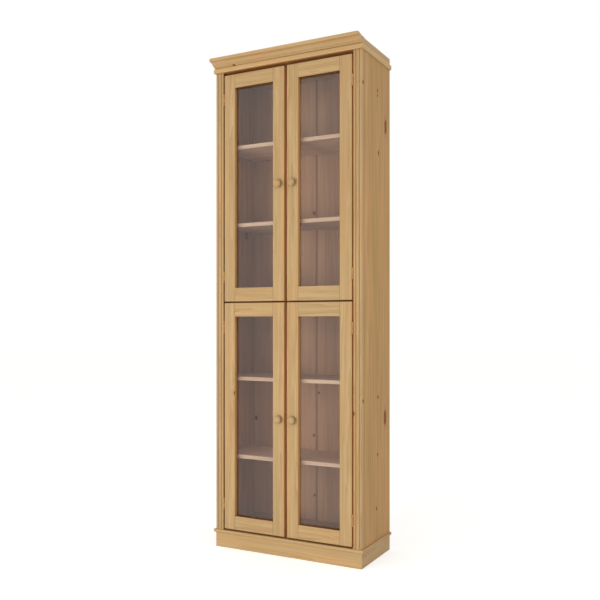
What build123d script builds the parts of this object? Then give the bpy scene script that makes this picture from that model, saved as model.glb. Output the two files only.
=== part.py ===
from build123d import *

import os

os.makedirs("parts", exist_ok=True)

# Display cabinet: four framed glass doors, two over two, hung between reeded pilasters.
# Millimetres. X runs left to right, Y from front (-) to back (+), Z up from the floor.
# The origin is the middle of the footprint, crown included, on the floor.

# Overall sizes
cabinet_height = 2195.0
carcass_width = 716.0
carcass_depth = 316.0  # from the pilasters' front to the rear edge of the sides

# Boards
side_thickness = 18.0
panel_thickness = 18.0
shelf_thickness = 17.0
back_thickness = 6.0
back_recess = 6.0  # from the rear edge of the sides to the back sheets

# Plinth, with a bead worked along its top
plinth_height = 79.0
plinth_thickness = 18.0
plinth_bead_height = 14.0
bottom_panel_rise = 11.0  # the bottom panel's upper face above the plinth

# Beads of the plinth and the cornice
bead_reach = 8.0
bead_round = 1.5
bead_ovolo = 5.5

# Cornice: a bead rail, then the crown moulding in front and plain boards at the sides
cornice_bead_height = 20.0
crown_height = 36.0
crown_reach = 50.0  # in front of the pilasters
crown_overhang = 3.0  # past each side
crown_fillet_height = 14.0
crown_cap_thickness = 20.0
crown_lip = 7.0
crown_toe_reach = 10.0
crown_toe_height = 4.0
crown_bulge = 1.8  # how far each half of the ogee bows from a straight line
crown_quirk_height = 3.0  # groove between the crown and the bead below it
crown_quirk_reach = 3.0
crown_side_quirk = 2.5
crown_side_drop = 5.0  # the side boards end this far below the crown's top
top_panel_rise = 1.0  # top panel's underside above the bead rail's underside

# Pilasters
pilaster_width = 39.3
pilaster_thickness = 22.0
inner_reed_width = 12.0
middle_reed_width = 16.0
reed_depth = 4.0
corner_round = 2.5
reed_stop = 8.0  # plain length at the foot, below the reeds

# Doors
door_thickness = 24.0
door_side_gap = 6.0
door_meeting_gap = 15.0
door_top_gap = 14.0
door_bottom_gap = 6.5
split_level = 1104.2  # middle of the gap between upper and lower doors
split_gap = 6.0
stile_width = 54.0
rail_width = 61.0
arris_radius = 1.2
joint_bevel = 0.6  # along the joint of rail and stile
rebate_width = 8.0
rebate_depth = 9.0
tenon_thickness = 8.0
tenon_setback = 4.0  # from the door's front face to the tenon's cheek
tenon_length = 32.0
tenon_shoulder = 9.0  # at each edge of the rail
tenon_end_gap = 1.0
stop_gap = 0.8  # between a closed door's back and the panels it shuts against

# Glass and the beads behind it
glass_thickness = 3.0
glass_edge_gap = 1.0
glazing_bead_width = 7.0
glazing_mitre_gap = 0.3

# Knobs
knob_radius = 17.5
knob_length = 24.0
knob_tenon_radius = 4.0
knob_tenon_length = 13.0
knob_clearance = 0.05
# Outline of the knob from its collar to its crown: shares of its radius and of its length
knob_outline = (
    (0.6, 0.0),
    (0.6, 0.06),
    (0.52, 0.14),
    (0.84, 0.24),
    (1.0, 0.44),
    (0.96, 0.66),
    (0.74, 0.86),
    (0.4, 0.97),
    (0.0, 1.0),
)

# Shelves: clear heights between the boards, counted upwards
lower_clear_bottom = 310.8
lower_clear_middle = 335.0
upper_clear_bottom = 330.6
upper_clear_middle = 334.0
shelf_setback = 35.0  # shelf's front edge behind the pilasters' front
shelf_end_gap = 2.0
shelf_back_gap = 2.5
shelf_arris = 1.0

# Shelf supports
pin_radius = 2.5
pin_hole_depth = 9.0
pin_length = 8.5
pin_clearance = 0.05
pin_inset = 40.0
support_width = 10.0
support_drop = 9.0
support_reach = 9.0
support_plate = 1.5

# Dowels of the fixed panels
dowel_radius = 3.0
dowel_in_side = 12.0
dowel_in_panel = 18.0
dowel_clearance = 0.05
dowel_end_gap = 0.5
dowel_inset = 35.0

# Joint strip between the back sheets
strip_width = 10.0
strip_flange = 1.5
strip_web = 1.0
strip_clearance = 0.2
sheet_edge_gap = 0.3

# Butt hinges
hinge_inset = 110.0  # from a door's end to the middle of a hinge
leaf_height = 50.0
leaf_width = 15.0
leaf_thickness = 1.5
leaf_proud = 0.5  # how far a leaf stands out of its mortise
knuckle_gap = 0.35  # between a knuckle and the wood beside it
knuckle_step = 0.3  # between two knuckles along the pin
leaf_step = 0.6  # between the knuckles and the leaf behind them
hinge_axis_forward = 0.5
hinge_pin_radius = 1.25
hinge_pin_clearance = 0.05
hinge_pin_head_radius = 2.2
hinge_pin_head_height = 1.2
mortise_clearance = 0.1
cut_overrun = 1.0  # how far a cut starts outside the wood

# Magnetic catches
catch_length = 32.0
catch_height = 14.0
catch_depth = 16.0
catch_gap = 0.3
catch_round = 2.0
strike_length = 30.0
strike_height = 11.0
strike_thickness = 1.2

# Levels and faces that follow from the sizes above
front = (crown_reach - carcass_depth) / 2
rear = front + carcass_depth
half_width = carcass_width / 2
inner_half = half_width - side_thickness
back_face = rear - back_recess - back_thickness
bottom_panel_level = plinth_height + bottom_panel_rise
crown_base = cabinet_height - crown_height
bead_base = crown_base - cornice_bead_height
top_underside = bead_base + top_panel_rise
bottom_underside = bottom_panel_level - panel_thickness
middle_underside = split_level - panel_thickness / 2
middle_top = middle_underside + panel_thickness
opening_half = half_width - pilaster_width
door_outer = opening_half - door_side_gap
door_inner = door_meeting_gap / 2
door_back = front + door_thickness
stop_face = door_back + stop_gap
rebate_face = door_back - rebate_depth
pilaster_back = front + pilaster_thickness
shelf_front = front + shelf_setback
shelf_back = back_face - shelf_back_gap
shelf_half = inner_half - shelf_end_gap
dowel_rows = (stop_face + dowel_inset, (stop_face + back_face) / 2, back_face - dowel_inset)
pin_rows = (shelf_front + pin_inset, shelf_back - pin_inset)
knob_across = door_inner + stile_width / 2
hinge_axis_across = opening_half - door_side_gap / 2
hinge_axis_y = front - hinge_axis_forward
knuckle_radius = door_side_gap / 2 - knuckle_gap
leaf_start = hinge_axis_y + knuckle_radius + leaf_step
leaf_end = leaf_start + leaf_width
knuckle_length = (leaf_height - 2 * knuckle_step) / 3

lower_shelf_levels = (
    bottom_panel_level + lower_clear_bottom,
    bottom_panel_level + lower_clear_bottom + shelf_thickness + lower_clear_middle,
)
upper_shelf_levels = (
    middle_top + upper_clear_bottom,
    middle_top + upper_clear_bottom + shelf_thickness + upper_clear_middle,
)
shelves = {
    "shelf_lower_bottom": lower_shelf_levels[0],
    "shelf_lower_top": lower_shelf_levels[1],
    "shelf_upper_bottom": upper_shelf_levels[0],
    "shelf_upper_top": upper_shelf_levels[1],
}
lower_door_span = (plinth_height + door_bottom_gap, split_level - split_gap / 2)
upper_door_span = (split_level + split_gap / 2, bead_base - door_top_gap)
doors = {
    "door_lower_left": (-1, lower_door_span),
    "door_lower_right": (1, lower_door_span),
    "door_upper_left": (-1, upper_door_span),
    "door_upper_right": (1, upper_door_span),
}


def write(piece, name):
    """Names a finished piece and writes its file."""
    piece.label = name
    export_step(piece, f"parts/{name}.step")


def block(x_span, y_span, z_span, mode=Mode.ADD):
    """Adds a box to the piece being made, or cuts it away."""
    spans = (x_span, y_span, z_span)
    sizes = [abs(high - low) for low, high in spans]
    middles = [(low + high) / 2 for low, high in spans]
    with Locations(tuple(middles)):
        Box(*sizes, mode=mode)


def hinge_levels(span):
    """Heights of a door's two hinges."""
    return (span[0] + hinge_inset, span[1] - hinge_inset)


def knuckle_spans(level):
    """The three knuckles of a hinge from the bottom up."""
    start = level - leaf_height / 2
    step = knuckle_length + knuckle_step
    return [(start + i * step, start + i * step + knuckle_length) for i in range(3)]


# Sections of the mouldings. Each is drawn with its outward side given by a sign.
def plinth_section(plane, face, outward):
    """Plinth board with a rounded bead along its top edge."""
    bead_low = plinth_height - plinth_bead_height
    with BuildSketch(plane) as section:
        with BuildLine():
            Polyline(
                (face + outward * (bead_reach - bead_round), plinth_height),
                (face - outward * plinth_thickness, plinth_height),
                (face - outward * plinth_thickness, 0),
                (face, 0),
                (face, bead_low),
                (face + outward * (bead_reach - bead_ovolo), bead_low),
            )
            TangentArc(
                (face + outward * (bead_reach - bead_ovolo), bead_low),
                (face + outward * bead_reach, bead_low + bead_ovolo),
                tangent=(outward, 0),
            )
            Line(
                (face + outward * bead_reach, bead_low + bead_ovolo),
                (face + outward * bead_reach, plinth_height - bead_round),
            )
            TangentArc(
                (face + outward * bead_reach, plinth_height - bead_round),
                (face + outward * (bead_reach - bead_round), plinth_height),
                tangent=(0, 1),
            )
        make_face()
    return section.sketch


def cornice_bead_section(plane, face, outward, depth):
    """Bead rail under the crown: rounded below, with a flat nose and an eased top edge."""
    with BuildSketch(plane) as section:
        with BuildLine():
            Polyline(
                (face + outward * (bead_reach - bead_round), crown_base),
                (face - outward * depth, crown_base),
                (face - outward * depth, bead_base),
                (face + outward * (bead_reach - bead_ovolo), bead_base),
            )
            TangentArc(
                (face + outward * (bead_reach - bead_ovolo), bead_base),
                (face + outward * bead_reach, bead_base + bead_ovolo),
                tangent=(outward, 0),
            )
            Line(
                (face + outward * bead_reach, bead_base + bead_ovolo),
                (face + outward * bead_reach, crown_base - bead_round),
            )
            TangentArc(
                (face + outward * bead_reach, crown_base - bead_round),
                (face + outward * (bead_reach - bead_round), crown_base),
                tangent=(0, 1),
            )
        make_face()
    return section.sketch


def mitre(side):
    """Upright plane through a front corner, halving the angle of the two mouldings."""
    return Plane(origin=(side * half_width, front, 0), z_dir=(side, 1, 0))


# Plinth: three moulded boards mitred at the front corners and a plain rear rail
section = plinth_section(Plane.YZ.offset(-half_width - bead_reach), front, -1)
with BuildPart() as plinth_front:
    extrude(section, amount=carcass_width + 2 * bead_reach)
    split(bisect_by=mitre(1), keep=Keep.BOTTOM)
    split(bisect_by=mitre(-1), keep=Keep.BOTTOM)
write(plinth_front.part, "plinth_front")

for side, name in ((-1, "plinth_left"), (1, "plinth_right")):
    section = plinth_section(Plane.XZ.offset(-rear), side * half_width, side)
    with BuildPart() as plinth_side:
        extrude(section, amount=carcass_depth + bead_reach)
        split(bisect_by=mitre(side), keep=Keep.TOP)
    write(plinth_side.part, name)

with BuildPart() as plinth_rear:
    with BuildSketch(Plane.XY):
        with Locations((0, back_face - plinth_thickness / 2)):
            Rectangle(2 * (half_width - plinth_thickness), plinth_thickness)
    extrude(amount=bottom_underside)
write(plinth_rear.part, "plinth_rear")


# Side panels, with blind holes for the dowels and the shelf supports
bottom_dowel_level = (plinth_height + bottom_panel_level) / 2
dowel_levels = (bottom_dowel_level, split_level, top_underside + panel_thickness / 2)
for side, name in ((-1, "side_panel_left"), (1, "side_panel_right")):
    with BuildPart() as side_panel:
        with BuildSketch(Plane.XY.offset(plinth_height)):
            with Locations((side * (half_width - side_thickness / 2), (pilaster_back + rear) / 2)):
                Rectangle(side_thickness, rear - pilaster_back)
        extrude(amount=crown_base - plinth_height)
        with BuildSketch(Plane.YZ.offset(side * inner_half)):
            with Locations(*[(y, z) for y in dowel_rows for z in dowel_levels]):
                Circle(dowel_radius + dowel_clearance)
        extrude(amount=side * (dowel_in_side + dowel_end_gap), mode=Mode.SUBTRACT)
        with BuildSketch(Plane.YZ.offset(side * inner_half)):
            with Locations(*[(y, z - support_drop / 2) for y in pin_rows for z in shelves.values()]):
                Circle(pin_radius + pin_clearance)
        extrude(amount=side * pin_hole_depth, mode=Mode.SUBTRACT)
    write(side_panel.part, name)


# Pilasters: three reeds, the outer one rounding the corner, above a short plain foot
for side, name in ((-1, "pilaster_left"), (1, "pilaster_right")):
    inner = side * opening_half
    first = side * (opening_half + inner_reed_width)
    second = side * (opening_half + inner_reed_width + middle_reed_width)
    crest = side * (half_width - corner_round)
    outer = side * half_width
    valley = front + reed_depth
    with BuildPart() as pilaster:
        with BuildSketch(Plane.XY.offset(plinth_height)):
            with BuildLine():
                ThreePointArc((inner, valley), ((inner + first) / 2, front), (first, valley))
                ThreePointArc((first, valley), ((first + second) / 2, front), (second, valley))
                TangentArc((crest, front), (second, valley), tangent=(-side, 0))
                TangentArc((crest, front), (outer, front + corner_round), tangent=(side, 0))
                Polyline(
                    (outer, front + corner_round),
                    (outer, pilaster_back),
                    (inner, pilaster_back),
                    (inner, valley),
                )
            make_face()
        extrude(amount=bead_base - plinth_height)
        with BuildSketch(Plane.XY.offset(plinth_height)) as foot:
            with Locations(((inner + outer) / 2, (front + pilaster_back) / 2)):
                Rectangle(pilaster_width, pilaster_thickness)
            corner = foot.vertices().group_by(Axis.Y)[0].sort_by(Axis.X)[-1 if side > 0 else 0]
            fillet(corner, radius=corner_round)
        extrude(amount=reed_stop)
        for _, span in (doors["door_lower_right"], doors["door_upper_right"]):
            for level in hinge_levels(span):
                half = leaf_height / 2 + mortise_clearance
                block(
                    (inner - side * cut_overrun, inner + side * (leaf_thickness - leaf_proud)),
                    (front - reed_depth, leaf_end + mortise_clearance),
                    (level - half, level + half),
                    mode=Mode.SUBTRACT,
                )
    write(pilaster.part, name)


# Fixed panels between the sides: bottom, middle and top
def fixed_panel(name, underside, front_edge, dowel_level):
    """Panel dowelled to both sides, notched at the back for the joint strip."""
    with BuildPart() as panel:
        with BuildSketch(Plane.XY.offset(underside)):
            with Locations((0, (front_edge + back_face) / 2)):
                Rectangle(2 * inner_half, back_face - front_edge)
            with Locations((0, back_face)):
                notch_depth = 2 * (strip_flange + strip_clearance)
                Rectangle(strip_width + 2 * strip_clearance, notch_depth, mode=Mode.SUBTRACT)
        extrude(amount=panel_thickness)
        for side in (-1, 1):
            with BuildSketch(Plane.YZ.offset(side * inner_half)):
                with Locations(*[(y, dowel_level) for y in dowel_rows]):
                    Circle(dowel_radius + dowel_clearance)
            extrude(amount=-side * (dowel_in_panel + dowel_end_gap), mode=Mode.SUBTRACT)
    write(panel.part, name)


fixed_panel("bottom_panel", bottom_underside, stop_face, dowel_levels[0])
fixed_panel("middle_shelf", middle_underside, stop_face, dowel_levels[1])
fixed_panel("top_panel", top_underside, pilaster_back, dowel_levels[2])

with BuildPart() as carcass_dowels:
    for side in (-1, 1):
        with BuildSketch(Plane.YZ.offset(side * (inner_half - dowel_in_panel))):
            with Locations(*[(y, z) for y in dowel_rows for z in dowel_levels]):
                Circle(dowel_radius)
        extrude(amount=side * (dowel_in_panel + dowel_in_side))
write(carcass_dowels.part, "carcass_dowels")

# Rail behind the top edge of the upper doors
top_rail_height = door_top_gap + rail_width / 2 - top_panel_rise
with BuildPart() as top_rail:
    with BuildSketch(Plane.XY.offset(top_underside - top_rail_height)):
        with Locations((0, stop_face + panel_thickness / 2)):
            Rectangle(2 * inner_half, panel_thickness)
    extrude(amount=top_rail_height)
write(top_rail.part, "top_rail")

# Loose shelves
for name, level in shelves.items():
    with BuildPart() as shelf:
        with BuildSketch(Plane.XY.offset(level)):
            with Locations((0, (shelf_front + shelf_back) / 2)):
                Rectangle(2 * shelf_half, shelf_back - shelf_front)
        extrude(amount=shelf_thickness)
        long_edges = shelf.edges().filter_by(Axis.X)
        chamfer(long_edges.group_by(Axis.Y)[0], length=shelf_arris)
    write(shelf.part, name)

# Shelf supports: an angle plate with a pin that plugs into the side panel
with BuildPart() as shelf_pins:
    for side in (-1, 1):
        wall = side * inner_half
        for y in pin_rows:
            for level in shelves.values():
                y_span = (y - support_width / 2, y + support_width / 2)
                block((wall, wall - side * support_plate), y_span, (level - support_drop, level))
                block((wall, wall - side * support_reach), y_span, (level - support_plate, level))
        with BuildSketch(Plane.YZ.offset(wall)):
            with Locations(*[(y, z - support_drop / 2) for y in pin_rows for z in shelves.values()]):
                Circle(pin_radius)
        extrude(amount=side * pin_length)
write(shelf_pins.part, "shelf_pins")

# Back: two sheets and the strip that joins them, a web with a flange on each face
sheet_half_gap = strip_web / 2 + sheet_edge_gap
sheet_outer = inner_half - sheet_edge_gap
for side, name in ((-1, "back_panel_left"), (1, "back_panel_right")):
    with BuildPart() as back_panel:
        with BuildSketch(Plane.XY.offset(bottom_underside)):
            with Locations((side * (sheet_half_gap + sheet_outer) / 2, back_face + back_thickness / 2)):
                Rectangle(sheet_outer - sheet_half_gap, back_thickness)
        extrude(amount=top_underside + panel_thickness - bottom_underside)
    write(back_panel.part, name)

with BuildPart() as back_joint_strip:
    with BuildSketch(Plane.XY.offset(bottom_underside)):
        with Locations((0, back_face + back_thickness / 2)):
            Rectangle(strip_web, back_thickness + 2 * strip_flange)
        with Locations((0, back_face - strip_flange / 2), (0, back_face + back_thickness + strip_flange / 2)):
            Rectangle(strip_width, strip_flange)
    extrude(amount=top_underside + panel_thickness - bottom_underside)
write(back_joint_strip.part, "back_joint_strip")


# Cornice: bead rail in front, bead strips at the sides, mitred together
section = cornice_bead_section(Plane.YZ.offset(-half_width - bead_reach), front, -1, pilaster_thickness)
with BuildPart() as cornice_rail:
    extrude(section, amount=carcass_width + 2 * bead_reach)
    for side in (-1, 1):
        past = side * (half_width + 2 * bead_reach)
        with BuildSketch(Plane.XY.offset(bead_base)):
            with BuildLine():
                Polyline(
                    (side * half_width, front),
                    (past, front - 2 * bead_reach),
                    (past, pilaster_back + bead_reach),
                    (side * half_width, pilaster_back + bead_reach),
                    close=True,
                )
            make_face()
        extrude(amount=cornice_bead_height, mode=Mode.SUBTRACT)
write(cornice_rail.part, "cornice_rail")

with BuildPart() as cornice_beads:
    for side in (-1, 1):
        extrude(
            cornice_bead_section(Plane.XZ.offset(-rear), side * half_width, side, 0),
            amount=carcass_depth + bead_reach,
        )
        with BuildSketch(Plane.XY.offset(bead_base)):
            with BuildLine():
                Polyline(
                    (side * half_width, front),
                    (side * half_width, front - 2 * bead_reach),
                    (side * (half_width + 2 * bead_reach), front - 2 * bead_reach),
                    close=True,
                )
            make_face()
        extrude(amount=cornice_bead_height, mode=Mode.SUBTRACT)
write(cornice_beads.part, "cornice_beads")

# Crown moulding: a quirk, a toe, an ogee rising to a square fillet, a cap stepped down behind
crown_face = front - crown_reach
fillet_base = cabinet_height - crown_fillet_height
shoulder = cabinet_height - crown_side_drop
toe_face = front - crown_toe_reach
quirk_top = crown_base + crown_quirk_height
ogee_low = (toe_face, quirk_top + crown_toe_height)
ogee_high = (crown_face + crown_lip, fillet_base)
ogee_middle = ((ogee_low[0] + ogee_high[0]) / 2, (ogee_low[1] + ogee_high[1]) / 2)


def bowed(start, end, bow):
    """Middle of an arc from start to end that bows to the left of the way between them."""
    run, rise = end[0] - start[0], end[1] - start[1]
    length = (run**2 + rise**2) ** 0.5
    return ((start[0] + end[0]) / 2 - rise / length * bow, (start[1] + end[1]) / 2 + run / length * bow)


with BuildPart() as crown_front:
    with BuildSketch(Plane.YZ.offset(-half_width - crown_overhang)):
        with BuildLine():
            Polyline(
                (pilaster_back, crown_base),
                (front - crown_quirk_reach, crown_base),
                (front - crown_quirk_reach, quirk_top),
                (toe_face, quirk_top),
                ogee_low,
            )
            ThreePointArc(ogee_low, bowed(ogee_low, ogee_middle, crown_bulge), ogee_middle)
            ThreePointArc(ogee_middle, bowed(ogee_middle, ogee_high, -crown_bulge), ogee_high)
            Polyline(
                ogee_high,
                (crown_face, fillet_base),
                (crown_face, cabinet_height),
                (crown_face + crown_cap_thickness, cabinet_height),
                (toe_face, shoulder),
                (pilaster_back, shoulder),
                (pilaster_back, crown_base),
            )
        make_face()
    extrude(amount=carcass_width + 2 * crown_overhang)
write(crown_front.part, "crown_front")

side_board_middle = half_width - side_thickness / 2
with BuildPart() as crown_sides:
    with BuildSketch(Plane.XY.offset(crown_base)):
        with Locations(*[(side * side_board_middle, (pilaster_back + rear) / 2) for side in (-1, 1)]):
            Rectangle(side_thickness, rear - pilaster_back)
    extrude(amount=crown_height - crown_side_drop)
    for side in (-1, 1):
        block(
            (side * (half_width - crown_side_quirk), side * (half_width + cut_overrun)),
            (pilaster_back - cut_overrun, rear + cut_overrun),
            (crown_base - cut_overrun, quirk_top),
            mode=Mode.SUBTRACT,
        )
write(crown_sides.part, "crown_sides")


# Door frames: stiles run the full height, rails are tenoned between them
def door_stile(name, edge, toward, span, knob_side):
    """Stile from its long outer edge towards the glass, rebated behind for the pane."""
    inner = edge + toward * stile_width
    with BuildPart() as stile:
        with BuildSketch(Plane.XY.offset(span[0])):
            with BuildLine():
                Polyline(
                    (edge, front),
                    (inner, front),
                    (inner, rebate_face),
                    (inner - toward * rebate_width, rebate_face),
                    (inner - toward * rebate_width, door_back),
                    (edge, door_back),
                    close=True,
                )
            make_face()
        extrude(amount=span[1] - span[0])
        front_edges = stile.edges().filter_by(Axis.Z).group_by(Axis.Y)[0].sort_by(Axis.X)
        fillet(front_edges[0 if toward > 0 else -1], radius=arris_radius)
        for base in (span[0], span[1] - rail_width):
            block(
                (inner, inner - toward * (tenon_length + tenon_end_gap)),
                (front + tenon_setback, front + tenon_setback + tenon_thickness),
                (base + tenon_shoulder, base + rail_width - tenon_shoulder),
                mode=Mode.SUBTRACT,
            )
        if knob_side:
            with BuildSketch(Plane.XZ.offset(-front)):
                with Locations((edge + toward * stile_width / 2, sum(span) / 2)):
                    Circle(knob_tenon_radius + knob_clearance)
            extrude(amount=-(knob_tenon_length + tenon_end_gap), mode=Mode.SUBTRACT)
        else:
            for level in hinge_levels(span):
                half = leaf_height / 2 + mortise_clearance
                block(
                    (edge - toward * cut_overrun, edge + toward * (leaf_thickness - leaf_proud)),
                    (front - cut_overrun, leaf_end + mortise_clearance),
                    (level - half, level + half),
                    mode=Mode.SUBTRACT,
                )
    write(stile.part, name)


def door_rail(name, side, base, glass_above):
    """Rail with a tenon at each end; its rear half fills the stiles' rebates."""
    ends = (side * (door_inner + stile_width), side * (door_outer - stile_width))
    middle = sum(ends) / 2
    length = abs(ends[1] - ends[0])
    rear_width = rail_width - rebate_width
    rear_middle = base + rear_width / 2 if glass_above else base + rail_width - rear_width / 2
    with BuildPart() as rail:
        with BuildSketch(Plane.XZ.offset(-front)):
            with Locations((middle, base + rail_width / 2)):
                Rectangle(length, rail_width)
        extrude(amount=-(rebate_face - front))
        chamfer(rail.edges().filter_by(Axis.Z).group_by(Axis.Y)[0], length=joint_bevel)
        with BuildSketch(Plane.XZ.offset(-rebate_face)):
            with Locations((middle, rear_middle)):
                Rectangle(length + 2 * rebate_width, rear_width)
        extrude(amount=-rebate_depth)
        with BuildSketch(Plane.XZ.offset(-front - tenon_setback)):
            with Locations((middle, base + rail_width / 2)):
                Rectangle(length + 2 * tenon_length, rail_width - 2 * tenon_shoulder)
        extrude(amount=-tenon_thickness)
    write(rail.part, name)


def knob(name, middle, level):
    """Turned mushroom knob with a tenon that plugs into the stile."""
    turning = Plane(origin=(middle, front, level), x_dir=(1, 0, 0), z_dir=(0, 0, 1))
    with BuildPart() as turned:
        with BuildSketch(turning):
            with BuildLine():
                Polyline(
                    (0, knob_tenon_length),
                    (knob_tenon_radius, knob_tenon_length),
                    (knob_tenon_radius, 0),
                    *[(across * knob_radius, -along * knob_length) for across, along in knob_outline],
                    close=True,
                )
            make_face()
        revolve(axis=Axis((middle, front, level), (0, 1, 0)))
    write(turned.part, name)


def hinge_leaf(axis_across, toward, level, spans):
    """Adds a leaf let into the wood on one side of the pin, with its own knuckles."""
    face = axis_across + toward * door_side_gap / 2
    thickness = (face - toward * leaf_proud, face + toward * (leaf_thickness - leaf_proud))
    block(thickness, (leaf_start, leaf_end), (level - leaf_height / 2, level + leaf_height / 2))
    for low, high in spans:
        block(thickness, (hinge_axis_y, leaf_start), (low, high))
        with Locations((axis_across, hinge_axis_y, (low + high) / 2)):
            Cylinder(knuckle_radius, high - low)
    with Locations((axis_across, hinge_axis_y, level)):
        Cylinder(hinge_pin_radius + hinge_pin_clearance, leaf_height, mode=Mode.SUBTRACT)


catch_face = door_back + strike_thickness + catch_gap
catch_middles = {
    lower_door_span: middle_underside - catch_height / 2,
    upper_door_span: middle_top + catch_height / 2,
}

for name, (side, span) in doors.items():
    glass_low = span[0] + rail_width
    glass_high = span[1] - rail_width
    door_stile(f"{name}_outer_stile", side * door_outer, -side, span, knob_side=False)
    door_stile(f"{name}_meeting_stile", side * door_inner, side, span, knob_side=True)
    door_rail(f"{name}_bottom_rail", side, span[0], glass_above=True)
    door_rail(f"{name}_top_rail", side, glass_high, glass_above=False)
    knob(f"{name}_knob", side * knob_across, sum(span) / 2)

    pane_middle = (side * (door_inner + door_outer) / 2, (glass_low + glass_high) / 2)
    sight_width = door_outer - door_inner - 2 * stile_width
    sight_height = glass_high - glass_low
    pane_growth = 2 * (rebate_width - glass_edge_gap)
    with BuildPart() as glass:
        with BuildSketch(Plane.XZ.offset(-rebate_face)):
            with Locations(pane_middle):
                Rectangle(sight_width + pane_growth, sight_height + pane_growth)
        extrude(amount=-glass_thickness)
    write(glass.part, f"{name}_glass")

    bead_frame = (sight_width + 2 * rebate_width, sight_height + 2 * rebate_width)
    with BuildPart() as glazing_beads:
        with BuildSketch(Plane.XZ.offset(-rebate_face - glass_thickness)):
            with Locations(pane_middle):
                Rectangle(*bead_frame)
                Rectangle(*[size - 2 * glazing_bead_width for size in bead_frame], mode=Mode.SUBTRACT)
            for x_sign, z_sign in ((-1, -1), (-1, 1), (1, -1), (1, 1)):
                corner_x = pane_middle[0] + x_sign * (bead_frame[0] - glazing_bead_width) / 2
                corner_z = pane_middle[1] + z_sign * (bead_frame[1] - glazing_bead_width) / 2
                with Locations((corner_x, corner_z)):
                    Rectangle(
                        2 * glazing_bead_width,
                        glazing_mitre_gap,
                        rotation=45 * x_sign * z_sign,
                        mode=Mode.SUBTRACT,
                    )
        extrude(amount=-(rebate_depth - glass_thickness))
    write(glazing_beads.part, f"{name}_glazing_beads")

    with BuildPart() as fittings:
        for level in hinge_levels(span):
            hinge_leaf(side * hinge_axis_across, -side, level, knuckle_spans(level)[1:2])
        with BuildSketch(Plane.XZ.offset(-door_back)):
            with Locations((side * knob_across, catch_middles[span])):
                RectangleRounded(strike_length, strike_height, radius=catch_round)
        extrude(amount=-strike_thickness)
    write(fittings.part, f"{name}_fittings")

# Hinges: the frame leaves let into the pilasters, and the loose pins
with BuildPart() as hinge_frame_leaves:
    for side, span in doors.values():
        for level in hinge_levels(span):
            hinge_leaf(side * hinge_axis_across, side, level, knuckle_spans(level)[::2])
write(hinge_frame_leaves.part, "hinge_frame_leaves")

with BuildPart() as hinge_pins:
    for side, span in doors.values():
        for level in hinge_levels(span):
            with BuildSketch(Plane.XY.offset(level - leaf_height / 2)):
                with Locations((side * hinge_axis_across, hinge_axis_y)):
                    Circle(hinge_pin_radius)
            extrude(amount=leaf_height)
            with BuildSketch(Plane.XY.offset(level + leaf_height / 2)):
                with Locations((side * hinge_axis_across, hinge_axis_y)):
                    Circle(hinge_pin_head_radius)
            extrude(amount=hinge_pin_head_height)
write(hinge_pins.part, "hinge_pins")

# Catches on the middle shelf, one behind each meeting stile
with BuildPart() as door_catches:
    for side, span in doors.values():
        with BuildSketch(Plane.XY.offset(catch_middles[span] - catch_height / 2)):
            with Locations((side * knob_across, catch_face + catch_depth / 2)):
                RectangleRounded(catch_length, catch_depth, radius=catch_round)
        extrude(amount=catch_height)
write(door_catches.part, "door_catches")
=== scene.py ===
"""Pine display cabinet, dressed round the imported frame.

It mixes the finishes, adds turned knobs, screws and nails, and sets up light and camera.
Metres. X runs from left to right, Y from the front to the back, Z up from the floor.
"""

from __future__ import annotations

import logging
import math
import random
from dataclasses import dataclass, field
from enum import Enum
from typing import Iterable, Sequence

import bmesh
import bpy
from mathutils import Matrix, Vector

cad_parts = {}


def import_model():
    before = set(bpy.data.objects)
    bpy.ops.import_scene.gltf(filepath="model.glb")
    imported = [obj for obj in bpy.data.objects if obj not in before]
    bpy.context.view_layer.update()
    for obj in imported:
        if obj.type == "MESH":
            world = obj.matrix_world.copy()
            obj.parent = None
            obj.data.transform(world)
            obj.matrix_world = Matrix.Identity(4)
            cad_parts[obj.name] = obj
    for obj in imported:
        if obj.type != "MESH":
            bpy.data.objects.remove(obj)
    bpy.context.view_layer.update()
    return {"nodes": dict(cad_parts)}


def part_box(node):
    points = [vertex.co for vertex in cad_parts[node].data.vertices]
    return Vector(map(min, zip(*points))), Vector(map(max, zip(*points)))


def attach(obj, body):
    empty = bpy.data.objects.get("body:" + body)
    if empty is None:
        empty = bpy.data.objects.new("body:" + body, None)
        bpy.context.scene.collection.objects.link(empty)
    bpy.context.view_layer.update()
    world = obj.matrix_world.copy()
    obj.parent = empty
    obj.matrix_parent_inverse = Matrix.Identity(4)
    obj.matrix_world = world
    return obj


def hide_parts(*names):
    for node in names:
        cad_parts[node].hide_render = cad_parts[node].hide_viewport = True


log = logging.getLogger("cabinet")

Colour = tuple[float, float, float]
Direction = tuple[float, float, float]
Span = tuple[float, float]
Socket = bpy.types.NodeSocket
Material = bpy.types.Material
Piece = bpy.types.Object
Shape = bmesh.types.BMesh
Nodes = dict[str, Piece]
Value = float | Socket

WHITE: Colour = (1.0, 1.0, 1.0)
RIGHT: Direction = (1.0, 0.0, 0.0)
LEFT: Direction = (-1.0, 0.0, 0.0)
BACK: Direction = (0.0, 1.0, 0.0)
FRONT: Direction = (0.0, -1.0, 0.0)
UP: Direction = (0.0, 0.0, 1.0)
DOWN: Direction = (0.0, 0.0, -1.0)
DOORS = tuple(f"door_{row}_{side}" for row in ("lower", "upper") for side in ("left", "right"))
NOISE_SPAN: Span = (0.3, 0.7)
WELD = 1e-6
SAME_WAY = 0.99

SRGB_TOE = 0.04045
SRGB_TOE_SLOPE = 12.92
SRGB_OFFSET = 0.055
SRGB_POWER = 2.4


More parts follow.
